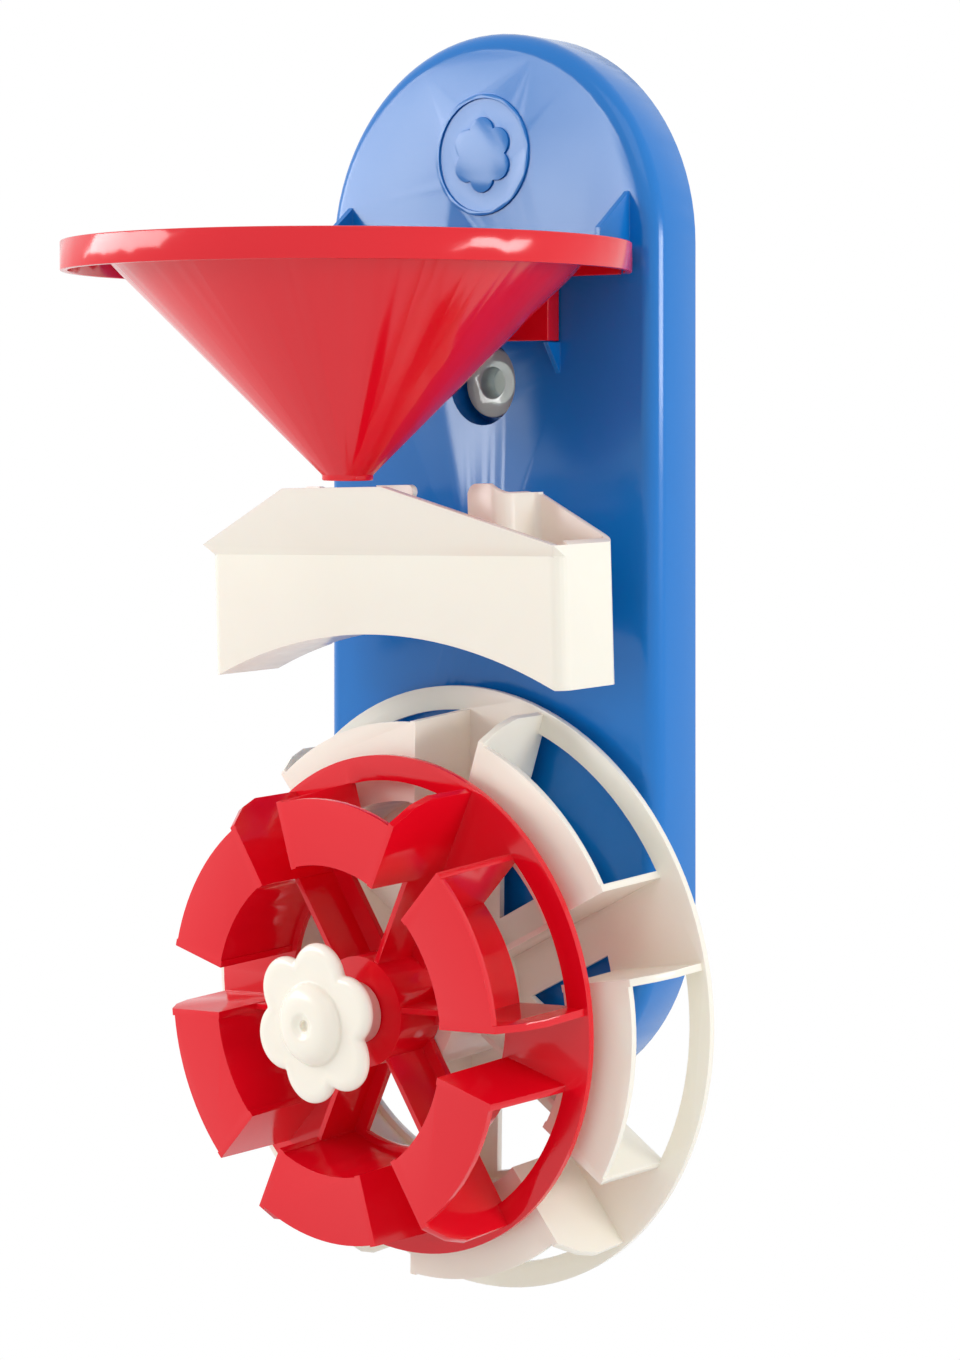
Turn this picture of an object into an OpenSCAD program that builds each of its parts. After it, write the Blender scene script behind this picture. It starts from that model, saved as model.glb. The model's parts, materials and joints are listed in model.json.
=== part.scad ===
// Wall-hung sand and water mill: a rounded backboard on two suction cups carries
// a funnel, a tipping trough and two bucket wheels on one axle.
// X runs to the right, -Y points at the child, Z is up. The origin lies on the
// wall, midway between the two suction cups.

/* [Board] */
// Width of the backboard, which is also the diameter of its round ends
board_w = 127.6; // [120:0.2:150]
// Height of the backboard
board_h = 316.3; // [290:0.1:340]
// Top of the backboard above the origin
board_rise = 167.2; // [160:0.1:180]
// Depth of the backboard's tray, from its open back to its face
board_depth = 19.3; // [17:0.1:26]
// Thickness of the side wall
board_wall = 2.2; // [1.6:0.1:3]
// Thickness of the face
board_face = 2.4; // [1.6:0.1:3]
// Radius of the edge between face and side wall
board_edge_r = 5.2; // [4:0.1:8]
// Height by which raised decoration stands on the face
emblem_h = 0.6; // [0.3:0.1:1]
// Radius of the round emblem on the dome
emblem_r = 18; // [12:0.5:24]
// Height of the emblem's centre above the origin
emblem_z = 131; // [126:0.5:136]

/* [Suction cups] */
// Distance between the centres of the two suction cups
cup_spacing = 127; // [110:1:140]
// Radius of a suction cup's rim
cup_r = 24; // [18:0.5:28]
// Distance that the rims stand behind the board's open back
cup_proud = 2.5; // [1:0.1:4]
// Radius of the cup's front button
cup_head_r = 10.4; // [9:0.1:11]
// Thickness of the button
cup_head_t = 3.6; // [2:0.1:5]
// Radius of the neck that passes through the board
cup_neck_r = 6.4; // [5.8:0.1:7.5]
// Radius of the blind hole in the button
cup_hole_r = 4.6; // [3:0.1:5]
// Radius of the round well that the button sits in
well_r = 12.6; // [12:0.1:15]
// Depth of the well below the board's face
well_depth = 8.2; // [6:0.1:9]
// Thickness of the well's floor
well_floor = 2.2; // [1.5:0.1:3]

/* [Axle] */
// Distance of the axle below the origin
axle_drop = 113.5; // [110:0.5:116]
// Radius of the axle
axle_r = 4; // [3:0.1:5]
// Radius of the axle's head, behind the board
axle_head_r = 7; // [6:0.1:8]
// Thickness of the axle's head
axle_head_t = 2; // [1:0.1:3]
// Radius of the board's boss round the axle
axle_boss_r = 9; // [8:0.1:11]
// Height of that boss on the face
axle_boss_front = 2.4; // [1.5:0.1:4]
// Height of that boss behind the face
axle_boss_back = 11; // [6:0.1:12]
// Gap between hubs that turn against each other
hub_gap = 0.3; // [0.2:0.05:0.6]

/* [Wheels] */
// Number of buckets on each wheel
buckets = 6; // [5:1:7]
// Wall thickness of both wheels
wheel_t = 2; // [1.6:0.1:2.6]
// Half the angle that a bucket's front plate covers
plate_half = 21.3; // [18:0.1:22]
// Height of the spine along each spoke, in front of the ring's back
spine_h = 16.2; // [12:0.1:18]
// Distance of the blades' outer edges inside the ring's rim
blade_inset = 1.2; // [0.8:0.1:2]
// Distance of the blades' shoulders behind the front plates
blade_shoulder = 6.2; // [4:0.1:8]
// Distance by which the shoulders lean in from the blades' outer edges
blade_lean = 2.2; // [1:0.1:2.8]

/* [Large wheel] */
// Outer radius of the ring
large_ring_r = 87.5; // [84:0.5:92]
// Width of the ring
large_ring_w = 7; // [5:0.5:9]
// Outer radius of the front plates
large_plate_r = 79.1; // [76:0.1:80]
// Radius of the wall at the bottom of the buckets
large_wall_r = 58.3; // [52:0.1:62]
// Depth of the wheel from ring to front plates
large_depth = 26.2; // [20:0.1:28]
// Radius of the hub
large_hub_r = 20; // [16:0.5:22]
// Half the width of a spoke between the openings round the hub
large_spoke_half = 12; // [6:0.1:14]
// Angle of the first bucket from the horizontal
large_phase = 50.6; // [0:0.1:60]
// Gap between the board's face and the ring
large_stand = 4.7; // [3.5:0.1:6]

/* [Small wheel] */
// Outer radius of the ring
small_ring_r = 70.3; // [68:0.1:74]
// Width of the ring
small_ring_w = 7.2; // [5:0.1:9]
// Outer radius of the front plates
small_plate_r = 61.2; // [59:0.1:62.5]
// Radius of the wall at the bottom of the buckets
small_wall_r = 44.8; // [40:0.1:48]
// Depth of the wheel from ring to front plates
small_depth = 31.1; // [26:0.1:33]
// Radius of the hub
small_hub_r = 15.4; // [12:0.1:18]
// Distance of the hub's front behind the front plates
small_hub_back = 14.4; // [12:0.1:16]
// Half the width of a spoke between the openings round the hub
small_spoke_half = 5.5; // [4:0.1:7]
// Angle of the first bucket from the horizontal
small_phase = 26.7; // [0:0.1:60]
// Gap between the large wheel's front plates and the small wheel's ring
wheel_gap = 5.3; // [3:0.1:8]

/* [Flower cap] */
// Radius of the flower across its petals' tips
flower_r = 22.3; // [18:0.1:26]
// Radius of one petal
petal_r = 9.3; // [8:0.1:10]
// Number of petals
petals = 6; // [5:1:6]
// Thickness of the petals
petal_t = 3; // [2:0.1:4]
// Angle of the first petal from the horizontal
petal_phase = 24; // [0:1:60]
// Radius of the dome in the middle
dome_r = 10.8; // [9:0.1:12]
// Height of the dome on the petals
dome_h = 3.8; // [2:0.1:5]
// Radius of the small blind hole in the dome
dome_hole_r = 1.6; // [1:0.1:2.5]
// Radius of the sleeve behind the petals
sleeve_r = 8.5; // [7:0.1:10]
// Length of that sleeve
sleeve_l = 16.7; // [14:0.1:18]

/* [Funnel] */
// Outer radius of the funnel's rim
funnel_r = 79.5; // [76:0.5:82]
// Height of the rim's skirt
rim_h = 8.2; // [6:0.1:12]
// Wall thickness of the funnel
funnel_t = 2; // [1.6:0.1:2.4]
// Distance of the funnel's axis in front of the board's face
funnel_reach = 58.1; // [56:0.1:60]
// Top of the rim above the origin
funnel_top = 102.2; // [100:0.1:106]
// Height of the funnel from spout to rim
funnel_h = 66.2; // [62:0.1:67]
// Outer radius of the spout
spout_r = 7.2; // [6:0.1:8]
// Wall thickness of the spout
spout_t = 1.6; // [1:0.1:2]
// Length of the spout's straight part
spout_l = 1.5; // [1:0.1:4]
// Half the width of the socket that hangs on the board
socket_half = 29.5; // [26:0.5:34]
// Height of the socket below the rim
socket_drop = 18.5; // [16.5:0.1:20]
// Clearance between the funnel and what it hangs on
hang_clear = 0.4; // [0.3:0.05:0.6]
// Distance of each fin from the middle of the board
fin_x = 53.7; // [50:0.1:55]
// Height of a fin above the rim
fin_rise = 15.4; // [10:0.1:20]
// Distance that a fin stands out from the face
fin_out = 13.4; // [10:0.1:16]

/* [Trough] */
// Half the length of the trough
trough_half = 67.3; // [62:0.1:68]
// Depth of the trough's box, back to front
trough_depth = 25; // [23:0.1:26]
// Gap between the board's face and the back of the trough
trough_stand = 22.2; // [21:0.1:24]
// Radius of the bends between the trough's walls
trough_bend = 4; // [3:0.1:4.4]
// Radius of the bend beside each ear of the pocket
pocket_bend = 5; // [4:0.1:6.5]
// Depth of the dip beside each ear
pocket_dip = 2.8; // [1:0.1:4]
// Wall thickness of the trough
trough_t = 2; // [1.6:0.1:2.4]
// Height of the trough's pivot above the origin
pivot_z = 14.5; // [13:0.1:16]
// Distance of the trough's lower edge below the pivot
trough_drop = 35.9; // [32:0.1:38]
// Height of the arch in its lower edge
arch_rise = 13.5; // [8:0.1:15]
// Top of the end walls above the pivot
end_rise = 3; // [2:0.1:5]
// Top of the front wall above the pivot
peak_rise = 19.6; // [18:0.1:20]
// Half the width of the front wall's level top
peak_half = 19; // [14:0.5:24]
// Half the width of the pocket in the back wall
pocket_half = 41; // [36:0.5:44]
// Distance of the pocket's wall in front of the back wall
pocket_depth = 15.8; // [13:0.1:17]
// Half the width of the tab in the middle of the pocket
tab_half = 7; // [5:0.5:9]
// Inner edge of each ear beside the tab's notches
ear_x = 27.5; // [20:0.5:29]
// Radius of the post that carries the trough
post_r = 4.5; // [3.5:0.1:5]
// Radius of that post's thick part, next to the board
post_base_r = 7; // [6:0.1:9]
// Tilt at which the trough rests
trough_tilt = 2; // [0:0.5:4]

/* [Hidden] */
$fn = 96;

// Overrun of every cut, and bite of pieces that are moulded as one
cut = 1;
bite = 0.4;
// Radial clearance of a running fit
run_clear = 0.05;
// Radial clearance of a soft neck in its hole
neck_clear = 0.3;
// Plastic round a wheel's bore
bush_wall = 3;
// Height of the hook's foot above the funnel's socket edge
hook_gap = 1;
// Thickness of flower that is left in front of the axle, and the axle's room behind it
cap_wall = 1;
tip_room = 0.5;
// Chamfer of the axle's tip
axle_chamfer = 1;

// Depths count forwards from the wall
face_d = cup_proud + board_depth;
board_r = board_w / 2;
dome_z = board_rise - board_r;
foot_z = board_rise - board_h + board_r;
cup_z = cup_spacing / 2;
well_floor_d = face_d - well_depth;
well_back_d = well_floor_d - well_floor;

large_back_d = face_d + large_stand;
large_front_d = large_back_d + large_depth;
small_back_d = large_front_d + wheel_gap;
small_front_d = small_back_d + small_depth;
small_hub_front_d = small_front_d - small_hub_back;
boss_front_d = face_d + axle_boss_front;
boss_back_d = face_d - axle_boss_back;
sleeve_back_d = small_hub_front_d + hub_gap;
petal_back_d = sleeve_back_d + sleeve_l;
petal_front_d = petal_back_d + petal_t;

gap_half = 180 / buckets - plate_half;
// Angle by which sectors end inside the blades at their sides
tuck = 0.9;

// Turns a shape drawn as seen from the front, with its height along z, so that its
// height points away from the wall
module stand_out(d = 0) {
    translate([0, -d, 0]) rotate([90, 0, 0]) children();
}

// Half a section through the board: a slab with one rounded edge
module edge_profile(r, e, d) {
    square([r - e, d]);
    square([r, d - e]);
    translate([r - e, d - e]) circle(r = e);
}

// A solid with two round ends and one rounded edge all round
module pill(r, e, d) {
    for (z = [dome_z, foot_z])
        translate([0, z, 0]) rotate_extrude() edge_profile(r, e, d);
    translate([0, dome_z, 0]) rotate([90, 0, 0]) linear_extrude(dome_z - foot_z) {
        edge_profile(r, e, d);
        mirror([1, 0]) edge_profile(r, e, d);
    }
}

// A wedge that reaches from the middle to radius r, half degrees to each side
module wedge(r, half) {
    polygon([[0, 0], [r, -r * tan(half)], [r, r * tan(half)]]);
}

// Part of a ring between two radii, half degrees to each side of the x axis
module ring_sector(r_in, r_out, half) {
    intersection() {
        difference() {
            circle(r = r_out);
            circle(r = r_in);
        }
        wedge(r_out + cut, half);
    }
}

/* Board and its fittings */

fin_t = 2;
// Angle at which a fin's top falls away to the front
fin_slope = 39;
gusset_t = 1.7;
gusset_h = 9;
funnel_bottom = funnel_top - funnel_h;
rim_bottom = funnel_top - rim_h;
socket_bottom = rim_bottom - socket_drop;
hook_t = 1.5;
socket_depth = 3 * hook_t + 3 * hang_clear;
hook_half = 20;
hook_root_h = 3;
hook_lip_h = 4.2;
hook_z = socket_bottom + hook_gap;
hook_top = hook_z + hook_root_h + hook_lip_h;

// A flower outline: a middle and its petals
module flower(r, pr, n) {
    circle(r = r - pr);
    for (k = [0 : n - 1]) rotate(k * 360 / n) translate([r - pr, 0]) circle(r = pr);
}

module emblem() {
    ring_share = 0.07;
    flower_share = 0.62;
    petal_share = 0.25;
    difference() {
        circle(r = emblem_r);
        circle(r = emblem_r * (1 - ring_share));
    }
    rotate(90) flower(emblem_r * flower_share, emblem_r * petal_share, petals);
}

module fins() {
    fin_base = rim_bottom + funnel_t;
    for (s = [-1, 1])
        translate([s * fin_x - fin_t / 2, 0, 0]) rotate([90, 0, 90]) linear_extrude(fin_t)
            polygon([
                [bite - face_d, fin_base],
                [bite - face_d, funnel_top + fin_rise],
                [-face_d, funnel_top + fin_rise],
                [-face_d - fin_out, funnel_top + fin_rise - fin_out * tan(fin_slope)],
                [-face_d - fin_out, fin_base]
            ]);
}

module gussets() {
    top = socket_bottom - hang_clear;
    for (s = [-1, 1])
        translate([s * (socket_half - gusset_t / 2) - gusset_t / 2, 0, 0])
            rotate([90, 0, 90]) linear_extrude(gusset_t)
                polygon([
                    [bite - face_d, top],
                    [-face_d - socket_depth, top],
                    [-face_d, top - gusset_h],
                    [bite - face_d, top - gusset_h]
                ]);
}

module hook() {
    lip_d = 2 * hang_clear + hook_t;
    translate([-hook_half, -face_d - lip_d - hook_t, hook_z])
        cube([2 * hook_half, lip_d + hook_t + bite, hook_root_h]);
    translate([-hook_half, -face_d - lip_d - hook_t, hook_z])
        cube([2 * hook_half, hook_t, hook_root_h + hook_lip_h]);
}

trough_back_d = face_d + trough_stand;
trough_front_d = trough_back_d + trough_depth;
pocket_d = trough_back_d + pocket_depth;
shoulder_reach = 0.5;
shoulder_d = trough_back_d + shoulder_reach;
// The bead at the post's tip stands out by this much, and its cone goes in by as much
bead_out = 0.7;
post_bead_l = 2.4;
// The post's root widens by this much over this length
root_out = 3;
root_l = 8;

module post() {
    translate([0, pivot_z, 0]) {
        cylinder(r = post_base_r, h = shoulder_d);
        translate([0, 0, face_d - bite])
            cylinder(r1 = post_base_r + root_out, r2 = post_base_r, h = root_l);
        cylinder(r = post_r, h = pocket_d + hub_gap + bite);
        translate([0, 0, pocket_d + hub_gap])
            cylinder(r1 = post_r + bead_out, r2 = post_r - bead_out, h = post_bead_l);
    }
}

module backboard() color("#1f74c4") {
    difference() {
        union() {
            stand_out(cup_proud) difference() {
                pill(board_r, board_edge_r, board_depth);
                translate([0, 0, -cut])
                    pill(board_r - board_wall, board_edge_r - board_wall,
                         board_depth - board_face + cut);
            }
            for (z = [cup_z, -cup_z])
                translate([0, 0, z]) stand_out(well_back_d)
                    cylinder(r = well_r + board_wall, h = face_d - well_back_d - bite);
            translate([0, 0, -axle_drop]) stand_out(boss_back_d)
                cylinder(r = axle_boss_r, h = boss_front_d - boss_back_d);
            difference() {
                stand_out() post();
                translate([0, 0, pivot_z]) stand_out(-cut)
                    cylinder(r = post_base_r + root_out + cut, h = face_d - bite + cut);
            }
            translate([0, 0, emblem_z]) stand_out(face_d - bite) linear_extrude(bite + emblem_h)
                emblem();
            fins();
            gussets();
            hook();
        }
        for (z = [cup_z, -cup_z]) translate([0, 0, z]) {
            stand_out(well_floor_d) cylinder(r = well_r, h = well_depth + cut);
            stand_out(well_back_d - cut)
                cylinder(r = cup_neck_r + neck_clear, h = well_floor + 2 * cut);
        }
        translate([0, 0, -axle_drop]) stand_out(boss_back_d - cut)
            cylinder(r = axle_r + run_clear, h = boss_front_d - boss_back_d + 2 * cut);
    }
}

// One clear suction cup, turned about its axis, with its rim on the wall
module suction_cup() color("#cfe0d2", 0.6) {
    steps = 12;
    bell_share = 0.62;
    lip_t = 1;
    skin = 1.8;
    span = cup_r - cup_neck_r;
    outer = [for (i = [0 : steps])
        let (s = i / steps) [cup_neck_r + span * s, lip_t + (well_back_d - lip_t) * (1 - pow(s, 1.4))]];
    inner = [for (i = [0 : steps])
        let (s = 1 - i / steps) [(cup_r - lip_t) * s, (well_back_d - skin) * bell_share * (1 - pow(s, 1.7))]];
    stand_out() difference() {
        rotate_extrude() polygon(concat(
            [[0, well_floor_d + cup_head_t], [cup_head_r, well_floor_d + cup_head_t],
             [cup_head_r, well_floor_d], [cup_neck_r, well_floor_d]],
            outer, [[cup_r, 0]], inner));
        translate([0, 0, well_back_d]) cylinder(r = cup_hole_r, h = well_depth + cut);
    }
}

module upper_suction_cup() translate([0, 0, cup_z]) suction_cup();
module lower_suction_cup() translate([0, 0, -cup_z]) suction_cup();

/* Axle and wheels */

// The axle's head sits behind the board and its tip lies in the flower's socket
module axle() color("#e9e6dc") {
    tip_d = petal_front_d - cap_wall - tip_room;
    translate([0, 0, -axle_drop]) stand_out() {
        translate([0, 0, boss_back_d - axle_head_t]) cylinder(r = axle_head_r, h = axle_head_t);
        translate([0, 0, boss_back_d - bite])
            cylinder(r = axle_r, h = tip_d - axle_chamfer - boss_back_d + bite);
        translate([0, 0, tip_d - axle_chamfer])
            cylinder(r1 = axle_r, r2 = axle_r - axle_chamfer, h = axle_chamfer);
    }
}

// Copies of a flat shape at each bucket, the first one at an angle
module around(first) {
    for (k = [0 : buckets - 1]) rotate(first + k * 360 / buckets) children();
}

// The blades at one side of all the buckets: 1 is the counter-clockwise side, -1 the other
module blades(side, r_in, r_out, depth, phase) {
    translate([0, 0, -cut]) linear_extrude(depth + 2 * cut) around(phase) rotate(side * plate_half)
        translate([r_in, side > 0 ? -wheel_t : 0]) square([r_out - r_in, wheel_t]);
}

// One bucket wheel, seen from the front, with its ring's back at z = 0. The buckets
// are open outwards and to the back. The gaps between them have a floor in the ring's
// plane, and so have the spokes, which a spine stiffens in front.
module wheel(ring_r, ring_w, plate_r, wall_r, depth,
             hub_r, hub_back, hub_front, spoke_half, phase, long_side) {
    ring_in = ring_r - ring_w;
    wall_in = wall_r - wheel_t;
    pitch = 360 / buckets;
    blade_r = ring_r - blade_inset;
    bush_r = axle_r + run_clear + bush_wall;
    difference() {
        union() {
            // flat back: ring, floors of the gaps between buckets, and spokes
            linear_extrude(wheel_t) {
                difference() {
                    circle(r = ring_r);
                    circle(r = ring_in);
                }
                around(phase + pitch / 2)
                    ring_sector(wall_in - bite, ring_in + 2 * bite, gap_half + tuck);
                difference() {
                    circle(r = wall_in + bite);
                    around(phase - plate_half + pitch / 2) intersection() {
                        circle(r = wall_in - wheel_t);
                        translate([spoke_half / sin(pitch / 2), 0]) wedge(wall_in, pitch / 2);
                    }
                }
            }
            // buckets: walls and short blades, trimmed to a cone that leaves the ring bare
            intersection() {
                union() {
                    difference() {
                        translate([0, 0, -cut]) cylinder(r = wall_r, h = depth + 2 * cut);
                        translate([0, 0, -2 * cut]) cylinder(r = wall_in, h = depth + 4 * cut);
                        translate([0, 0, wheel_t]) linear_extrude(depth)
                            around(phase + pitch / 2) wedge(wall_r + cut, gap_half + tuck);
                    }
                    blades(-long_side, wall_in - bite, ring_r, depth, phase);
                }
                rotate_extrude() polygon([[0, 0], [ring_in + bite, 0], [ring_in + bite, wheel_t - bite],
                                          [plate_r + bite, depth], [0, depth]]);
            }
            // long blades, which reach over the ring, and plates
            intersection() {
                union() {
                    blades(long_side, wall_in - bite, ring_r + cut, depth, phase);
                    translate([0, 0, depth - wheel_t]) linear_extrude(wheel_t + cut) around(phase)
                        ring_sector(wall_in + 3 * bite, plate_r, plate_half - tuck);
                }
                rotate_extrude() polygon([[0, 0], [ring_in + bite, 0], [ring_in + bite, wheel_t - bite],
                                          [blade_r, wheel_t - bite],
                                          [blade_r, depth - 2 * blade_shoulder],
                                          [blade_r - blade_lean, depth - blade_shoulder],
                                          [plate_r + 2 * bite, depth], [0, depth]]);
            }
            // a spine on each spoke, in line with one blade of each bucket
            translate([0, 0, bite]) linear_extrude(spine_h - bite)
                around(phase - plate_half) translate([0, bite / 2])
                    square([wall_in + 3 * bite, wheel_t - bite]);
        }
        translate([0, 0, -cut]) cylinder(r = hub_r - bite, h = depth + 2 * cut);
    }
    translate([0, 0, hub_back]) difference() {
        cylinder(r = hub_r, h = hub_front - hub_back);
        translate([0, 0, -cut]) cylinder(r = hub_r - wheel_t, h = hub_front - hub_back - wheel_t + cut);
    }
    translate([0, 0, hub_back]) linear_extrude(hub_front - hub_back - bite)
        around(phase + pitch / 2) translate([bush_r - bite, -wheel_t / 2])
            square([hub_r - wheel_t - bush_r + 2 * bite, wheel_t]);
    translate([0, 0, hub_back]) cylinder(r = bush_r, h = hub_front - hub_back);
}

module bored_wheel(hub_back, hub_front) {
    difference() {
        children();
        translate([0, 0, hub_back - cut])
            cylinder(r = axle_r + run_clear, h = hub_front - hub_back + 2 * cut);
    }
}

module large_wheel() color("#f6f3e6") {
    hub_back = boss_front_d + hub_gap - large_back_d;
    hub_front = small_back_d - hub_gap - large_back_d;
    translate([0, 0, -axle_drop]) stand_out(large_back_d) bored_wheel(hub_back, hub_front)
        wheel(large_ring_r, large_ring_w, large_plate_r, large_wall_r, large_depth,
              large_hub_r, hub_back, hub_front, large_spoke_half, large_phase, 1);
}

module small_wheel() color("#e3202f") {
    hub_front = small_depth - small_hub_back;
    translate([0, 0, -axle_drop]) stand_out(small_back_d) bored_wheel(0, hub_front)
        wheel(small_ring_r, small_ring_w, small_plate_r, small_wall_r, small_depth,
              small_hub_r, 0, hub_front, small_spoke_half, small_phase, -1);
}

module flower_cap() color("#f8f5ea") {
    dome_steps = 8;
    hole_depth = 2.4;
    translate([0, 0, -axle_drop]) stand_out() difference() {
        union() {
            translate([0, 0, sleeve_back_d]) cylinder(r = sleeve_r, h = sleeve_l + bite);
            translate([0, 0, petal_back_d]) linear_extrude(petal_t) rotate(petal_phase)
                flower(flower_r, petal_r, petals);
            translate([0, 0, petal_front_d - bite]) rotate_extrude() polygon(concat(
                [[0, 0], [dome_r, 0]],
                [for (i = [0 : dome_steps]) let (a = 90 * i / dome_steps)
                    [dome_r * cos(a), bite + dome_h * sin(a)]]));
        }
        translate([0, 0, sleeve_back_d - cut])
            cylinder(r = axle_r + run_clear, h = petal_front_d - cap_wall - sleeve_back_d + cut);
        translate([0, 0, petal_front_d + dome_h - hole_depth]) cylinder(r = dome_hole_r, h = hole_depth + cut);
    }
}

/* Funnel */

cone_bottom = funnel_bottom + spout_l;
funnel_back_d = face_d + hang_clear;
function cone_r(z) = spout_r + z - cone_bottom;
slant_t = funnel_t * sqrt(2);

// The room inside the funnel, as a turned solid
module funnel_room() {
    rotate_extrude() polygon([
        [0, funnel_bottom - cut],
        [spout_r - spout_t, funnel_bottom - cut],
        [spout_r - spout_t, cone_bottom + slant_t - spout_t],
        [cone_r(funnel_top + cut) - slant_t, funnel_top + cut],
        [0, funnel_top + cut]
    ]);
}

// Everything inside the funnel's outer surface, as a turned solid
module funnel_bulk() {
    rotate_extrude() polygon([
        [0, funnel_bottom],
        [spout_r, funnel_bottom],
        [spout_r, cone_bottom],
        [cone_r(funnel_top - funnel_t), funnel_top - funnel_t],
        [funnel_r - funnel_t, funnel_top - funnel_t],
        [funnel_r - funnel_t, rim_bottom],
        [funnel_r, rim_bottom],
        [funnel_r, funnel_top],
        [0, funnel_top]
    ]);
}

module at_funnel() translate([0, -face_d - funnel_reach, 0]) children();

module funnel() color("#e3202f") {
    back_t = hook_t;
    strip_bottom = hook_z + hook_root_h + hang_clear;
    difference() {
        union() {
            difference() {
                at_funnel() difference() {
                    funnel_bulk();
                    funnel_room();
                }
                translate([-funnel_r - cut, -funnel_back_d - bite, funnel_bottom - cut])
                    cube([2 * funnel_r + 2 * cut, funnel_reach + funnel_r, funnel_h + 2 * cut]);
            }
            intersection() {
                at_funnel() funnel_bulk();
                translate([-funnel_r, -funnel_back_d - back_t, rim_bottom - funnel_r])
                    cube([2 * funnel_r, back_t, funnel_r + rim_h]);
            }
            intersection() {
                translate([-funnel_r, -funnel_back_d - back_t, rim_bottom])
                    cube([2 * funnel_r, back_t, rim_h]);
                at_funnel() translate([0, 0, rim_bottom]) cylinder(r = funnel_r, h = rim_h);
            }
            difference() {
                union() {
                    translate([-socket_half, -funnel_back_d - back_t, strip_bottom])
                        cube([2 * socket_half, back_t, rim_bottom + bite - strip_bottom]);
                    for (s = [-1, 1])
                        translate([s * (socket_half - funnel_t / 2) - funnel_t / 2,
                                   -face_d - socket_depth, socket_bottom])
                            cube([funnel_t, socket_depth - hang_clear, rim_bottom + bite - socket_bottom]);
                    translate([-socket_half, -face_d - socket_depth, socket_bottom])
                        cube([2 * socket_half, hook_t, rim_bottom + bite - socket_bottom]);
                }
                at_funnel() funnel_room();
            }
        }
        for (s = [-1, 1])
            translate([s * fin_x - fin_t / 2 - hang_clear, -face_d - fin_out - hang_clear, rim_bottom - cut])
                cube([fin_t + 2 * hang_clear, fin_out + cut, rim_h + 2 * cut]);
    }
}

/* Trough */

sleeve_wall = 3;
// Radius of the tab's rounded corner and of the ears' corners
tab_corner = 2;
ear_r = 3.4;
// How far the upper front leans out for each unit of its height
flare_share = 0.88;
inset_share = 0.8;
notch_gap = 1;

// The trough's outline as seen from the front, without the arch
module gable(rise_end, rise_peak, peak) {
    polygon([[-trough_half, -trough_drop], [trough_half, -trough_drop], [trough_half, rise_end],
             [peak, rise_peak], [-peak, rise_peak], [-trough_half, rise_end]]);
}

// Width of each foot beside the arch
foot_w = 3;
arch_half = trough_half - foot_w;
arch_r = (arch_half * arch_half + arch_rise * arch_rise) / (2 * arch_rise);

// The space under the arch
module arch(lift) {
    translate([0, -trough_drop + arch_rise - arch_r]) circle(r = arch_r + lift);
}

// A bend in a wall seen from above: a quarter ring in the quadrant (qx, qy)
module bend(x, y, r, qx, qy) {
    translate([x, y]) intersection() {
        difference() {
            circle(r = r);
            circle(r = r - trough_t);
        }
        translate([qx > 0 ? 0 : -r, qy > 0 ? 0 : -r]) square([r, r]);
    }
}

// The walls seen from above, with depth counted forwards from the back wall
module trough_plan() {
    r = trough_bend;
    for (s = [0, 1]) mirror([s, 0]) {
        translate([-bite, trough_depth - trough_t]) square([trough_half - r + bite, trough_t]);
        bend(trough_half - r, trough_depth - r, r, 1, 1);
        translate([trough_half - trough_t, r]) square([trough_t, trough_depth - 2 * r]);
        bend(trough_half - r, r, r, 1, -1);
        translate([pocket_half + r - trough_t, 0])
            square([trough_half - pocket_half - 2 * r + trough_t, trough_t]);
        bend(pocket_half + r - trough_t, r, r, -1, -1);
        translate([pocket_half - trough_t, r])
            square([trough_t, pocket_depth - r - pocket_bend]);
        bend(pocket_half - pocket_bend, pocket_depth - pocket_bend, pocket_bend, 1, 1);
        translate([-bite, pocket_depth - trough_t])
            square([pocket_half - pocket_bend + bite, trough_t]);
    }
}

// The top edge of the pocket's wall: a tab, two notches, and two ears that dip into
// the bend beside them
module pocket_outline() {
    notch_bottom = post_r + run_clear + sleeve_wall + notch_gap;
    dip = peak_rise - pocket_dip;
    translate([-pocket_half - cut, -trough_drop - cut])
        square([2 * pocket_half + 2 * cut, trough_drop + notch_bottom + cut]);
    translate([-tab_half, 0]) square([2 * tab_half - bite, peak_rise - tab_corner / 2]);
    translate([-tab_half, 0]) square([2 * tab_half - tab_corner, peak_rise]);
    translate([tab_half - tab_corner, peak_rise - tab_corner]) circle(r = tab_corner);
    for (s = [0, 1]) mirror([s, 0]) {
        translate([ear_x + ear_r, peak_rise - ear_r]) circle(r = ear_r);
        polygon([[ear_x, 0], [pocket_half + cut, 0], [pocket_half + cut, dip],
                 [pocket_half - 0.3 * pocket_bend, dip], [pocket_half - 1.2 * pocket_bend, peak_rise],
                 [ear_x + ear_r, peak_rise], [ear_x + ear_r, peak_rise - ear_r],
                 [ear_x, peak_rise - ear_r]]);
    }
}

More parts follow.
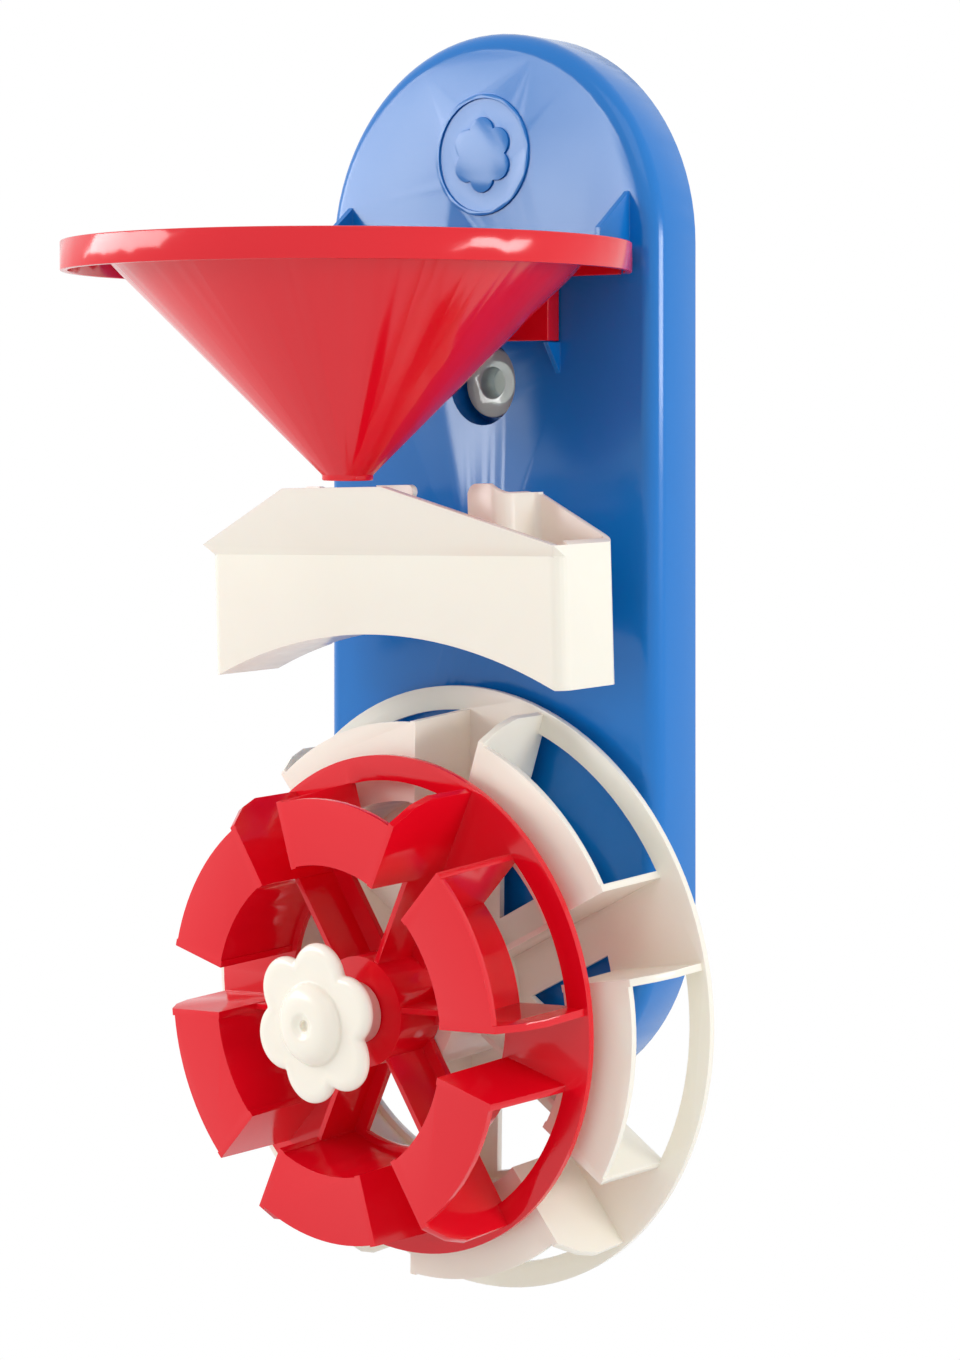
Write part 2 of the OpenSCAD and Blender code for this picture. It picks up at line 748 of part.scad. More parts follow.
// The upper front, which leans out, and the cheeks that close it at both ends
module trough_flare() {
    lean = trough_t * sqrt(1 + flare_share * flare_share);
    corner = trough_bend * (2 - sqrt(2));
    reach = end_rise * flare_share;
    difference() {
        union() {
            intersection() {
                linear_extrude(trough_depth + peak_rise * flare_share + cut)
                    gable(end_rise, peak_rise, peak_half);
                translate([-trough_half, 0, 0]) rotate([90, 0, 90]) linear_extrude(2 * trough_half)
                    polygon([[-bite, trough_depth - trough_t + bite], [-bite, trough_depth - bite],
                             [0, trough_depth], [peak_rise, trough_depth + peak_rise * flare_share],
                             [peak_rise, trough_depth + peak_rise * flare_share - lean],
                             [0, trough_depth - lean]]);
            }
            for (s = [-1, 1]) translate([s * trough_half - (s > 0 ? trough_t : 0), 0, 0])
                rotate([90, 0, 90]) linear_extrude(trough_t)
                    polygon([[-bite, trough_depth - trough_bend - bite], [-bite, trough_depth - bite],
                             [0, trough_depth], [end_rise, trough_depth + reach],
                             [end_rise, trough_depth - trough_bend - bite]]);
        }
        // corners drawn in to the bends below them
        for (s = [-1, 1]) translate([s * trough_half, 0, trough_depth]) rotate([0, s * 45, 0])
            translate([-trough_depth / 2, 0, 0]) rotate([90, 0, 90]) linear_extrude(trough_depth)
                polygon([[-trough_t, -corner / sqrt(2)], [0, -corner / sqrt(2)],
                         [2 * end_rise, (2 * reach + corner - bite) / sqrt(2)],
                         [2 * end_rise, trough_depth], [-trough_t, trough_depth]]);
    }
}

module trough_walls() {
    edge = inset_share * trough_t;
    // floor over the arch and the feet beside it, which end inside the walls
    intersection() {
        linear_extrude(trough_depth) {
            intersection() {
                difference() {
                    arch(trough_t);
                    arch(0);
                }
                translate([-trough_half, -trough_drop]) square([2 * trough_half, trough_drop]);
            }
            difference() {
                translate([-trough_half, -trough_drop]) square([2 * trough_half, trough_t]);
                arch(bite);
            }
        }
        translate([-trough_half + edge, -trough_drop - cut, edge])
            cube([2 * trough_half - 2 * edge, trough_drop + 2 * cut, trough_depth - 2 * edge]);
    }
    // walls that stand on it, trimmed to their outlines as seen from the front
    difference() {
        mirror([0, 1, 0]) rotate([90, 0, 0]) translate([0, 0, -trough_drop])
            linear_extrude(trough_drop + peak_rise + cut) trough_plan();
        translate([0, 0, -cut]) linear_extrude(trough_depth + 2 * cut) arch(0);
        // above the front wall
        translate([-trough_half - cut, 0, trough_depth - trough_bend])
            cube([2 * trough_half + 2 * cut, peak_rise + 2 * cut, trough_bend + cut]);
        // above the back wall's slopes and the pocket
        translate([0, 0, -cut]) linear_extrude(trough_depth - trough_bend + 2 * cut)
            difference() {
                translate([-trough_half - cut, -trough_drop])
                    square([2 * trough_half + 2 * cut, trough_drop + peak_rise + 2 * cut]);
                union() {
                    gable(end_rise, peak_rise - pocket_dip, pocket_half);
                    pocket_outline();
                }
            }
        translate([0, 0, pocket_depth - pocket_bend]) linear_extrude(trough_depth)
            difference() {
                translate([-pocket_half - trough_bend / 2, 0])
                    square([2 * pocket_half + trough_bend, peak_rise + 2 * cut]);
                pocket_outline();
            }
    }
    trough_flare();
    // sleeve round the post
    sleeve_start = shoulder_d + hub_gap - trough_back_d;
    translate([0, 0, sleeve_start])
        cylinder(r = post_r + run_clear + sleeve_wall, h = pocket_depth - bite - sleeve_start);
}

module trough() color("#f8f2e4") {
    translate([0, 0, pivot_z]) stand_out(trough_back_d) rotate(trough_tilt) difference() {
        trough_walls();
        translate([0, 0, -cut]) cylinder(r = post_r + run_clear, h = pocket_depth + 2 * cut);
    }
}

backboard();
upper_suction_cup();
lower_suction_cup();
axle();
large_wheel();
small_wheel();
flower_cap();
funnel();
trough();
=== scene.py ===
"""Looks for a wall-hung sand and water mill: moulded plastic pieces with softened
edges, clear suction cups, and a plain studio stage."""

import json
import math

import bmesh
import bpy
import numpy as np
from bpy.props import FloatProperty, PointerProperty, StringProperty
from bpy.types import Operator, Panel, PropertyGroup
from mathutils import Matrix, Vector


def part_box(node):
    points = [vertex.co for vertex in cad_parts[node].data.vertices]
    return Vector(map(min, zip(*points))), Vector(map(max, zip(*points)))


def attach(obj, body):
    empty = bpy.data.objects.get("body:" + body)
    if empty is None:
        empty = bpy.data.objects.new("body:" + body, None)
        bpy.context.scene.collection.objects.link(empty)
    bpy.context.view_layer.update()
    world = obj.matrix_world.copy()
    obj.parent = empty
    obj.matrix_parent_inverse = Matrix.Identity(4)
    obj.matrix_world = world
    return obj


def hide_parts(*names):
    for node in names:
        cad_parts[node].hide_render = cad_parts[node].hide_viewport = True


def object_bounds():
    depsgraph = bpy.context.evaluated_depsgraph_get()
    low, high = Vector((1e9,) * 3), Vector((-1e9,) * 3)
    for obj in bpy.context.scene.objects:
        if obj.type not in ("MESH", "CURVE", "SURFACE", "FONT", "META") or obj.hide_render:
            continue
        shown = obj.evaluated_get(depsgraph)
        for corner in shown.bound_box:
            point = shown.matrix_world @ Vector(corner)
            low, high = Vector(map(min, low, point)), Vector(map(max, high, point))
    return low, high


bl_info = {
    "name": "Sand and Water Mill",
    "version": (1, 0, 0),
    "blender": (4, 5, 0),
    "location": "3D View > Sidebar > Sand Mill",
    "description": "Moulded looks for a wall-hung sand and water mill",
    "category": "Add Mesh",
}

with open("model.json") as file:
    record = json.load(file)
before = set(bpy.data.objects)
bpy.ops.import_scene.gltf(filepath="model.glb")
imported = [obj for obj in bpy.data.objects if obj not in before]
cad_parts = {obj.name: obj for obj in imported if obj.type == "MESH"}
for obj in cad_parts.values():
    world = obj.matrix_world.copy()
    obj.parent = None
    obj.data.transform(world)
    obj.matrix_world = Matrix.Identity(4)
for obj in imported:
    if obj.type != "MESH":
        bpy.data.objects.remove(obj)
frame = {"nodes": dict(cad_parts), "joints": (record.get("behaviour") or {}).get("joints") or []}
CAD_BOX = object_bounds()
MM = 0.001

# points closer than WELD are one point, and faces that meet flatter than FLAT one face
WELD = 0.001 * MM
FLAT = math.radians(0.4)

# the height of the axle that the wheels turn on and the flower sits on
AXLE_Z = next(joint["pos_m"][2] for joint in frame["joints"] if joint["name"] == "small_wheel_spin")

# the flower's petals
AROUND = 240  # points round each ring of its skin
PETALS = 6
PETAL_PHASE = math.radians(24)  # where the first one points
PETAL_REACH = 22.3 * MM  # from the middle to a tip
PETAL_R = 9.3 * MM  # the circle that rounds a tip
PETAL_T = 3 * MM  # thickness
PETAL_JOIN = 0.45 * MM  # how softly two petals flow together
BACK_ROUND = 0.9 * MM  # rounding of the back edge
EDGE_BAND = 0.3 * MM  # straight band between the front's and the back's rounding
VALLEY_D = 0.15 * MM  # depth of the valley between two petals

# the flower's sleeve and its bore on the axle
SLEEVE_R = 8.5 * MM
SLEEVE_CUT = 0.4 * MM  # chamfer round the sleeve's end and the bore's mouth
BORE_R = 4.05 * MM
BORE_END = 1 * MM  # how far the bore ends behind the petals' front

# the flower's dome, and the small hole in its dimple
DOME_R = 10.8 * MM
DOME_H = 3.8 * MM
DOME_FOOT = 0.6 * MM  # how far the foot spreads past the dome
DOME_POWER_OUT = 2.6  # the superellipse's power outwards
DOME_POWER_UP = 1.5  # and upwards
DIMPLE_D = 0.9 * MM  # depth
HOLE_R = 1.6 * MM
HOLE_D = 2.4 * MM  # depth below the dome's top
HOLE_EDGE = 0.3 * MM  # how deep its rim is rounded
HOLE_FOOT = 0.2 * MM  # how high its bottom is rounded
# of the hole's radius: below its rim, above its foot, round its flat bottom, its middle
HOLE_SHARES = (0.94, 0.9, 0.7, 0)

# the stage: half the floor's side in metres, its grey, and where the lamps point
FLOOR_HALF = 6.0
FLOOR_GREY = (0.8, 0.8, 0.8, 1)
LAMP_AIM = Vector((0, -50 * MM, 0))

# the photograph's view: a level camera, turned to the right of the board's front, with
# its horizon above the middle of the picture
IMAGE_W, IMAGE_H = 960, 1360
CAMERA_PLACE = (508.6 * MM, -617.2 * MM, 60.1 * MM)
CAMERA_TURN = math.radians(40.25)
FOCUS_PX = 2641.0
AXIS_PX = (494.3, 394.1)
SENSOR_MM = 36.0


class MillMouldings(PropertyGroup):
    """How the mouldings' edges are rounded"""

    board_edge: FloatProperty(
        name="Board edge", description="Rounding of the edges of board and cups",
        default=0.5 * MM, min=0.1 * MM, max=1 * MM, unit="LENGTH")
    thin_edge: FloatProperty(
        name="Thin edge", description="Rounding of the edges of funnel, wheels and axle",
        default=0.45 * MM, min=0.1 * MM, max=0.9 * MM, unit="LENGTH")
    trough_edge: FloatProperty(
        name="Trough edge", description="Rounding of the trough's edges",
        default=0.8 * MM, min=0.1 * MM, max=0.9 * MM, unit="LENGTH")
    petal_roll: FloatProperty(
        name="Petal roll", description="How far in from its edge a petal's front is rounded",
        default=3.4 * MM, min=1 * MM, max=8 * MM, unit="LENGTH")
    dimple: FloatProperty(
        name="Dimple", description="Radius of the soft dimple in the middle of the flower",
        default=4.2 * MM, min=2.5 * MM, max=6 * MM, unit="LENGTH")


class MillColours(PropertyGroup):
    """The plastics' colours, as sRGB hex values"""

    board_blue: StringProperty(name="Board", description="Blue of the backboard", default="#0078ce")
    red: StringProperty(name="Red", description="Red of funnel and small wheel", default="#e60a20")
    white: StringProperty(
        name="White", description="Warm white of trough, large wheel, flower and axle",
        default="#fdf6e8")
    clear: StringProperty(name="Cup", description="Tint of the clear suction cups", default="#e3efe6")


class MillStage(PropertyGroup):
    """Floor and light"""

    floor_drop: FloatProperty(
        name="Floor", description="How far the floor lies below the toy's lowest point",
        default=40 * MM, min=0, max=0.5, unit="LENGTH")
    world_strength: FloatProperty(
        name="World", description="Strength of the soft light all round", default=0.68, min=0, max=2)
    lamp_level: FloatProperty(
        name="Lamps", description="Brightness of the softboxes' faces, as a share of their own",
        default=1, min=0, max=4)


def linear(hex_colour):
    """An sRGB hex value as linear RGBA: each channel through the sRGB curve."""
    channels = np.array([int(hex_colour[i:i + 2], 16) / 255 for i in (1, 3, 5)])
    channels = np.where(channels <= 0.04045, channels / 12.92, ((channels + 0.055) / 1.055) ** 2.4)
    return (*channels.tolist(), 1.0)


def add_node(tree, kind, settings=None, inputs=None):
    """Adds a node; an input that is a (node, output) pair is linked, any other is set."""
    node = tree.nodes.new(kind)
    for key, value in (settings or {}).items():
        setattr(node, key, value)
    for key, value in (inputs or {}).items():
        if isinstance(value, tuple) and isinstance(value[0], bpy.types.Node):
            tree.links.new(value[0].outputs[value[1]], node.inputs[key])
        else:
            node.inputs[key].default_value = value
    return node


def empty_material(name):
    """A material with no nodes yet, and its tree."""
    mat = bpy.data.materials.new(name)
    mat.use_nodes = True
    mat.node_tree.nodes.clear()
    return mat, mat.node_tree


def moulded_plastic(name, hex_colour, rough, swirl_mm, glow):
    """Injection-moulded polypropylene: glossy, with the faint sink and flow waves of a
    thin shell, a slight drift of colour, and handling that dulls the gloss in patches."""
    mat, tree = empty_material(name)
    place = add_node(tree, "ShaderNodeTexCoord")
    base = linear(hex_colour)
    # slow drift of colour, from 5% darker to 3% lighter, in patches of about 60 mm
    drift = add_node(tree, "ShaderNodeTexNoise", None,
                     {"Vector": (place, "Object"), "Scale": 1 / (60 * MM), "Detail": 2.0})
    tone = add_node(tree, "ShaderNodeMix", {"data_type": "RGBA"}, {"Factor": (drift, "Fac")})
    tone.inputs["A"].default_value = tuple(0.95 * v for v in base[:3]) + (1,)
    tone.inputs["B"].default_value = tuple(min(1, 1.03 * v) for v in base[:3]) + (1,)
    # wear from handling: patches of about 25 mm that are a little less glossy
    patches = add_node(tree, "ShaderNodeTexNoise", None,
                       {"Vector": (place, "Object"), "Scale": 1 / (25 * MM), "Detail": 2.0})
    gloss = add_node(tree, "ShaderNodeMapRange", {"interpolation_type": "SMOOTHSTEP"},
                     {"Value": (patches, "Fac"), "From Min": 0.2, "From Max": 0.8,
                      "To Min": rough, "To Max": rough + 0.05})
    # sink waves of the shell, then the fine grain of the mould's surface (0.6 mm)
    wave = add_node(tree, "ShaderNodeTexNoise", None,
                    {"Vector": (place, "Object"), "Scale": 1 / (swirl_mm * MM), "Detail": 1.0})
    grain = add_node(tree, "ShaderNodeTexNoise", None,
                     {"Vector": (place, "Object"), "Scale": 1 / (0.6 * MM), "Detail": 2.0})
    waves = add_node(tree, "ShaderNodeBump", None,
                     {"Height": (wave, "Fac"), "Strength": 0.12, "Distance": 0.2 * MM})
    bump = add_node(tree, "ShaderNodeBump", None,
                    {"Height": (grain, "Fac"), "Normal": (waves, "Normal"),
                     "Strength": 0.06, "Distance": 0.05 * MM})
    shader = add_node(tree, "ShaderNodeBsdfPrincipled", None,
                      {"Base Color": (tone, "Result"), "Roughness": (gloss, "Result"),
                       "Normal": (bump, "Normal"), "IOR": 1.49})
    if glow:
        # light that soaks into the shell and comes out again nearby
        shader.inputs["Subsurface Weight"].default_value = glow
        shader.inputs["Subsurface Radius"].default_value = (1.0, 0.75, 0.6)
        shader.inputs["Subsurface Scale"].default_value = 4 * MM
    add_node(tree, "ShaderNodeOutputMaterial", None, {"Surface": (shader, "BSDF")})
    return mat


def clear_vinyl(name, hex_colour):
    """Soft clear PVC, moulded: lets light through with a faint green tint, a wet gloss
    that is hazy in places, and slight ripples that bend what is seen behind it."""
    mat, tree = empty_material(name)
    place = add_node(tree, "ShaderNodeTexCoord")
    # ripples about 7 mm across, and haze in clouds of about 9 mm
    ripple = add_node(tree, "ShaderNodeTexNoise", None,
                      {"Vector": (place, "Object"), "Scale": 1 / (7 * MM), "Detail": 1.0})
    cloud = add_node(tree, "ShaderNodeTexNoise", None,
                     {"Vector": (place, "Object"), "Scale": 1 / (9 * MM), "Detail": 2.0})
    haze = add_node(tree, "ShaderNodeMapRange", None,
                    {"Value": (cloud, "Fac"), "To Min": 0.02, "To Max": 0.09})
    bump = add_node(tree, "ShaderNodeBump", None,
                    {"Height": (ripple, "Fac"), "Strength": 0.4, "Distance": 0.3 * MM})
    shader = add_node(tree, "ShaderNodeBsdfPrincipled", None,
                      {"Base Color": linear(hex_colour), "Roughness": (haze, "Result"),
                       "Transmission Weight": 0.5, "IOR": 1.5, "Normal": (bump, "Normal")})
    add_node(tree, "ShaderNodeOutputMaterial", None, {"Surface": (shader, "BSDF")})
    return mat


# polypropylene by slot: the material's name, its colour in MillColours, its roughness,
# the size of its sink waves in mm, and how much light soaks into it
PLASTICS = {
    "board_blue": ("polypropylene_blue", "board_blue", 0.16, 38, 0.0),
    "moulded_red": ("polypropylene_red", "red", 0.1, 26, 0.05),
    "moulded_white": ("polypropylene_white", "white", 0.2, 30, 0.25),
    "axle_white": ("polypropylene_axle", "white", 0.3, 12, 0.0),
}
# materials made so far, by slot
MATERIALS = {}


def finish_of(slot):
    """The material of a slot, made once and shared by its pieces."""
    if slot not in MATERIALS:
        colours = bpy.context.scene.mill_colours
        if slot == "cup_clear":
            MATERIALS[slot] = clear_vinyl("vinyl_clear", colours.clear)
        else:
            name, colour, rough, swirl_mm, glow = PLASTICS[slot]
            MATERIALS[slot] = moulded_plastic(name, getattr(colours, colour), rough, swirl_mm, glow)
    return MATERIALS[slot]


def add_piece(name, mesh, body, slot):
    """A new piece with its finish, its slot and the body that it rides on."""
    piece = bpy.data.objects.new(name, mesh)
    bpy.context.scene.collection.objects.link(piece)
    mesh.materials.clear()
    mesh.materials.append(finish_of(slot))
    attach(piece, body)
    return piece


def softened(node, body, slot, width, flat_deg=28):
    """A copy of a CAD node whose sharp edges are rolled over a small radius, as a mould
    leaves them: doubles merged, flat faces joined, and a bevel on each edge sharper
    than flat_deg."""
    mesh = frame["nodes"][node].data.copy()
    bm = bmesh.new()
    bm.from_mesh(mesh)
    bmesh.ops.remove_doubles(bm, verts=bm.verts, dist=WELD)
    bmesh.ops.dissolve_limit(bm, angle_limit=FLAT, verts=bm.verts, edges=bm.edges)
    for face in bm.faces:
        face.smooth = True
    bm.to_mesh(mesh)
    bm.free()
    piece = add_piece("soft_" + node, mesh, body, slot)
    bevel = piece.modifiers.new("rolled_edges", "BEVEL")
    bevel.width = width
    bevel.segments = 3
    bevel.limit_method = "ANGLE"
    bevel.angle_limit = math.radians(flat_deg)
    bevel.use_clamp_overlap = True
    bevel.harden_normals = True
    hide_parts(node)


def skin_mesh(name, points):
    """A closed skin round an axis, from an array of points: rows run round the axis and
    columns along a profile that starts and ends on it. Quads join neighbours, the last
    row meets the first, and each pole's points are merged."""
    rows, columns = points.shape[:2]
    index = np.arange(rows * columns).reshape(rows, columns)
    index = np.vstack([index, index[:1]])
    quads = np.stack([index[:-1, :-1], index[1:, :-1], index[1:, 1:], index[:-1, 1:]], -1)
    mesh = bpy.data.meshes.new(name)
    mesh.from_pydata(points.reshape(-1, 3).tolist(), [], quads.reshape(-1, 4).tolist())
    mesh.polygons.foreach_set("use_smooth", np.ones(len(mesh.polygons), bool))
    bm = bmesh.new()
    bm.from_mesh(mesh)
    bmesh.ops.remove_doubles(bm, verts=bm.verts, dist=WELD)
    bmesh.ops.recalc_face_normals(bm, faces=bm.faces)
    bm.to_mesh(mesh)
    bm.free()
    return mesh


class MILL_OT_board(Operator):
    """Blue backboard with its fins, hook and post"""

    bl_idname = "mill.board"
    bl_label = "Backboard"

    def execute(self, context):
        softened("backboard", "board", "board_blue", context.scene.mill_mouldings.board_edge)
        return {"FINISHED"}


class MILL_OT_cups(Operator):
    """Clear suction cups"""

    bl_idname = "mill.cups"
    bl_label = "Suction Cups"

    def execute(self, context):
        for node in ("upper_suction_cup", "lower_suction_cup"):
            softened(node, "board", "cup_clear", context.scene.mill_mouldings.board_edge,
                     flat_deg=40)
        return {"FINISHED"}


class MILL_OT_funnel(Operator):
    """Red funnel"""

    bl_idname = "mill.funnel"
    bl_label = "Funnel"

    def execute(self, context):
        softened("funnel", "hopper", "moulded_red", context.scene.mill_mouldings.thin_edge)
        return {"FINISHED"}


class MILL_OT_trough(Operator):
    """White tipping trough"""

    bl_idname = "mill.trough"
    bl_label = "Trough"

    def execute(self, context):
        softened("trough", "rocker", "moulded_white", context.scene.mill_mouldings.trough_edge)
        return {"FINISHED"}


class MILL_OT_wheels(Operator):
    """White and red bucket wheels and their axle"""

    bl_idname = "mill.wheels"
    bl_label = "Wheels"

    def execute(self, context):
        width = context.scene.mill_mouldings.thin_edge
        softened("large_wheel", "big_wheel", "moulded_white", width)
        softened("small_wheel", "little_wheel", "moulded_red", width)
        softened("axle", "board", "axle_white", width)
        return {"FINISHED"}


def petal_outline(angle):
    """Distance from the flower's middle to its edge at an angle. Each petal is a circle
    whose centre lies at c, its reach less its radius; a ray at angle t from the petal's
    middle line leaves it at c cos t + sqrt(radius^2 - c^2 sin^2 t). The petals are joined
    by a soft maximum, the log of the sum of their exponentials, which fills the notches
    between them a little."""
    centre = PETAL_REACH - PETAL_R
    total = np.zeros_like(angle)
    for petal in range(PETALS):
        turn = angle - PETAL_PHASE - 2 * np.pi * petal / PETALS
        inside = np.maximum(PETAL_R ** 2 - (centre * np.sin(turn)) ** 2, 0)
        ray = np.where(np.cos(turn) > 0, centre * np.cos(turn) + np.sqrt(inside), 0)
        total += np.exp((ray - PETAL_REACH) / PETAL_JOIN)
    return PETAL_REACH + PETAL_JOIN * np.log(total)


def flower_mesh(back, front, roll, dimple):
    """The flower cap as one closed skin, from its sleeve's end at the depth back to its
    petals' front at the depth front, and the dome before it. Rows run round the axle;
    columns run along a profile: out of the bore, along the sleeve, under the petals,
    round their edge and over the dome into its dimple. Near the edge the profile's
    radius is the petal outline less an offset; the front falls there on a quarter
    ellipse, roll wide. The dome is a quarter of a superellipse, and the dimple a cosine
    bowl that ends in a small hole."""
    angle = np.linspace(0, 2 * np.pi, AROUND, endpoint=False)
    outline = petal_outline(angle)[:, None]
    profile = []

    def add_columns(radius, depth):
        """Adds to the profile. Radius and depth are each a row, which is then the same at
        every angle, or a grid."""
        profile.append(np.broadcast_arrays(radius, depth, outline)[:2])

    # bore and sleeve
    bore_end = front - BORE_END
    petals_back = front - PETAL_T
    add_columns([0, BORE_R, BORE_R, BORE_R + SLEEVE_CUT, SLEEVE_R - SLEEVE_CUT, SLEEVE_R, SLEEVE_R],
                [bore_end, bore_end, back + SLEEVE_CUT, back, back, back + SLEEVE_CUT, petals_back])

    # the petals' edge: a quarter circle behind, a quarter ellipse in front
    quarter = np.linspace(0, np.pi / 2, 7)
    add_columns(outline - BACK_ROUND + BACK_ROUND * np.sin(quarter),
                petals_back + BACK_ROUND - BACK_ROUND * np.cos(quarter))
    quarter = np.linspace(0, np.pi / 2, 22)
    drop = PETAL_T - BACK_ROUND - EDGE_BAND
    add_columns(outline - roll + roll * np.cos(quarter), front - drop + drop * np.sin(quarter))

    # their front, with a faint valley between each two, deepest half way to the edge
    run = np.linspace(0, 1, 12)[1:-1]
    foot = DOME_R + DOME_FOOT
    valley = VALLEY_D * (0.5 - 0.5 * np.cos(PETALS * (angle - PETAL_PHASE)))[:, None]
    add_columns(outline - roll + (foot - outline + roll) * run, front - valley * np.sin(np.pi * run))

    # the dome, from its foot up to the dimple
    run = np.linspace(0, 1, 26)
    rise = (1 - (1 - run) ** DOME_POWER_OUT) ** (1 / DOME_POWER_UP)
    add_columns(foot - (foot - dimple) * run, front + DOME_H * rise)

    # the dimple and its hole
    top = front + DOME_H
    run = np.linspace(0, 1, 12)[1:]
    add_columns(dimple + (HOLE_R - dimple) * run, top - DIMPLE_D * (0.5 - 0.5 * np.cos(np.pi * run)))
    bottom = top - HOLE_D
    add_columns(HOLE_R * np.array(HOLE_SHARES),
                [top - DIMPLE_D - HOLE_EDGE, bottom + HOLE_FOOT, bottom, bottom])

    radius, depth = (np.hstack(grids) for grids in zip(*profile))
    across = radius * np.cos(angle)[:, None]
    up = radius * np.sin(angle)[:, None]
    return skin_mesh("flower_cap", np.stack([across, -depth, AXLE_Z + up], -1))


class MILL_OT_flower(Operator):
    """White flower cap on the axle's tip"""

    bl_idname = "mill.flower"
    bl_label = "Flower Cap"

    def execute(self, context):
        moulding = context.scene.mill_mouldings
        low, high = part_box("flower_cap")
        back, front = -high[1], -low[1] - DOME_H
        mesh = flower_mesh(back, front, moulding.petal_roll, moulding.dimple)
        piece = add_piece("flower_cap_skin", mesh, "board", "moulded_white")
        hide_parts("flower_cap")
        return {"FINISHED"}


# softboxes: name, azimuth in degrees, height, distance, width and height of the face in
# metres, and its brightness, where white to the eye is 1. The two windows stand where
# the funnel's rim and the dome mirror them to the camera.
SOFTBOXES = (
    ("window_left", -50, 0.215, 0.95, 0.75, 0.24, 7.2),
    ("window_right", 98, 0.156, 1.15, 0.55, 0.2, 12),
    ("sky_front", 30, 1.1, 1.2, 1.1, 0.9, 0.8),
)


def add_softbox(name, azimuth, height, distance, wide, tall, level):
    """A rectangular lamp that faces the toy. Its power is its brightness times pi times
    its area."""
    data = bpy.data.lights.new(name, "AREA")
    data.shape = "RECTANGLE"
    data.size, data.size_y = wide, tall
    data.energy = level * math.pi * wide * tall
    lamp = bpy.data.objects.new(name, data)
    turn = math.radians(azimuth)
    lamp.location = Vector((distance * math.sin(turn), -distance * math.cos(turn), height))
    lamp.rotation_euler = (LAMP_AIM - lamp.location).to_track_quat("-Z", "Y").to_euler()
    bpy.context.scene.collection.objects.link(lamp)


def seen_white(tree):
    """A factor of 1 for rays that come from the camera, from a mirror reflection or
    through clear plastic, and 0 for the rays that light the toy."""
    path = add_node(tree, "ShaderNodeLightPath")
    seen = add_node(tree, "ShaderNodeMath", {"operation": "MAXIMUM"},
                    {0: (path, "Is Camera Ray"), 1: (path, "Is Transmission Ray")})
    return add_node(tree, "ShaderNodeMath", {"operation": "MAXIMUM"},
                    {0: (seen, "Value"), 1: (path, "Is Glossy Ray")})


def add_floor(height):
    """A level floor: white where it is seen, and pale grey to the rays that light the
    toy."""
    mesh = bpy.data.meshes.new("floor")
    corners = [(x * FLOOR_HALF, y * FLOOR_HALF, height) for x, y in ((-1, -1), (1, -1), (1, 1), (-1, 1))]
    mesh.from_pydata(corners, [], [(0, 1, 2, 3)])
    floor = bpy.data.objects.new("floor", mesh)
    bpy.context.scene.collection.objects.link(floor)
    mat, tree = empty_material("pale_floor")
    paint = add_node(tree, "ShaderNodeBsdfDiffuse", None, {"Color": FLOOR_GREY})
    white = add_node(tree, "ShaderNodeEmission", None, {"Color": (1, 1, 1, 1), "Strength": 1.0})
    mix = add_node(tree, "ShaderNodeMixShader", None,
                   {0: (seen_white(tree), "Value"), 1: (paint, "BSDF"), 2: (white, "Emission")})
    add_node(tree, "ShaderNodeOutputMaterial", None, {"Surface": (mix, "Shader")})
    mesh.materials.append(mat)


def add_world(strength):
    """A white surround that lights the toy from all round at the given strength."""
    world = bpy.data.worlds.new("studio")
    bpy.context.scene.world = world
    world.use_nodes = True
    tree = world.node_tree
    tree.nodes.clear()
    level = add_node(tree, "ShaderNodeMapRange", None,
                     {"Value": (seen_white(tree), "Value"), "To Min": strength, "To Max": 1.0})
    sky = add_node(tree, "ShaderNodeBackground", None,
                   {"Color": (1, 1, 1, 1), "Strength": (level, "Result")})
    add_node(tree, "ShaderNodeOutputWorld", None, {"Surface": (sky, "Background")})


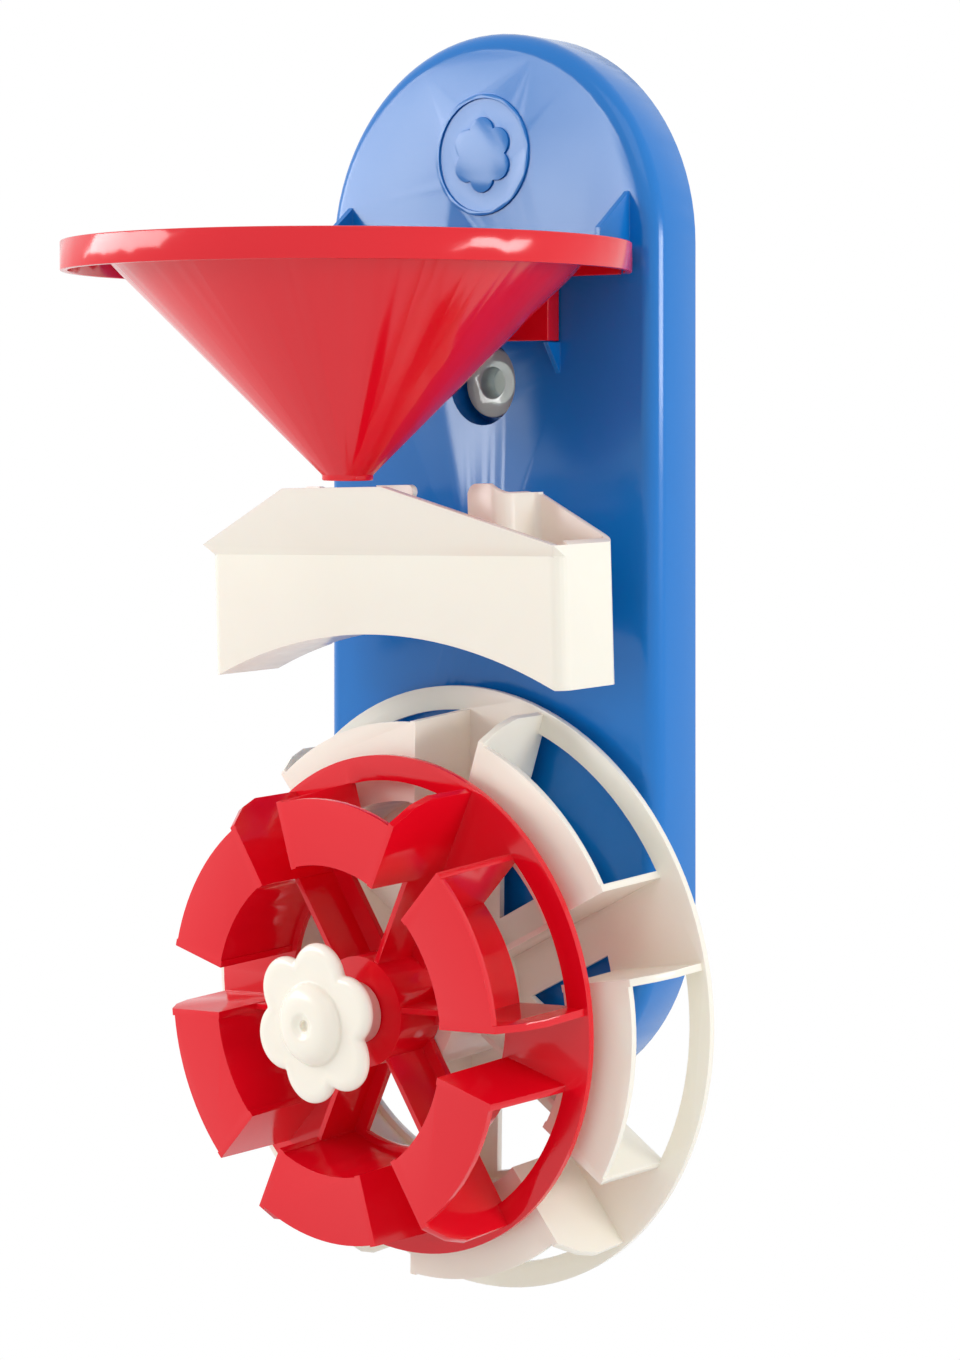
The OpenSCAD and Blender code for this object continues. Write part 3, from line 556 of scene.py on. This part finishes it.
def add_camera():
    """The camera at the photograph's view. The lens is the focal length in pixels scaled
    to the sensor, and the shift is how far the axis lies from the picture's middle, as a
    share of its height."""
    data = bpy.data.cameras.new("camera")
    data.sensor_fit = "VERTICAL"
    data.sensor_height = SENSOR_MM
    data.lens = SENSOR_MM * FOCUS_PX / IMAGE_H
    data.shift_x = -(AXIS_PX[0] - IMAGE_W / 2) / IMAGE_H
    data.shift_y = (AXIS_PX[1] - IMAGE_H / 2) / IMAGE_H
    camera = bpy.data.objects.new("camera", data)
    camera.location = CAMERA_PLACE
    camera.rotation_euler = (math.pi / 2, 0, CAMERA_TURN)
    bpy.context.scene.collection.objects.link(camera)
    bpy.context.scene.camera = camera


class MILL_OT_stage(Operator):
    """Pale floor, soft lamps, white surround and the camera"""

    bl_idname = "mill.stage"
    bl_label = "Stage"

    def execute(self, context):
        stage = context.scene.mill_stage
        add_floor(CAD_BOX[0][2] - stage.floor_drop)
        add_world(stage.world_strength)
        for name, azimuth, height, distance, wide, tall, level in SOFTBOXES:
            add_softbox(name, azimuth, height, distance, wide, tall, level * stage.lamp_level)
        add_camera()
        context.scene.view_settings.view_transform = "Standard"
        return {"FINISHED"}


class MILL_PT_panel(Panel):
    """The mill's sizes and colours, and its pieces"""

    bl_idname = "MILL_PT_panel"
    bl_label = "Sand Mill"
    bl_space_type = "VIEW_3D"
    bl_region_type = "UI"
    bl_category = "Sand Mill"

    def draw(self, context):
        for group in GROUPS:
            box = self.layout.box()
            settings = getattr(context.scene, group)
            for key in settings.__annotations__:
                box.prop(settings, key)
        for operator in OPERATORS:
            self.layout.operator(operator.bl_idname)


OPERATORS = (MILL_OT_board, MILL_OT_cups, MILL_OT_funnel, MILL_OT_trough, MILL_OT_wheels,
             MILL_OT_flower, MILL_OT_stage)
GROUPS = {"mill_mouldings": MillMouldings, "mill_colours": MillColours, "mill_stage": MillStage}
CLASSES = (*GROUPS.values(), *OPERATORS, MILL_PT_panel)


def register():
    """Registers the classes and gives the scene its groups of settings."""
    for cls in CLASSES:
        bpy.utils.register_class(cls)
    for name, cls in GROUPS.items():
        setattr(bpy.types.Scene, name, PointerProperty(type=cls))


def unregister():
    """Undoes register, last first."""
    for name in GROUPS:
        delattr(bpy.types.Scene, name)
    for cls in reversed(CLASSES):
        bpy.utils.unregister_class(cls)


def main():
    """Makes the pieces and the stage."""
    register()
    bpy.ops.mill.board()
    bpy.ops.mill.cups()
    bpy.ops.mill.funnel()
    bpy.ops.mill.trough()
    bpy.ops.mill.wheels()
    bpy.ops.mill.flower()
    bpy.ops.mill.stage()


if __name__ == "__main__":
    main()
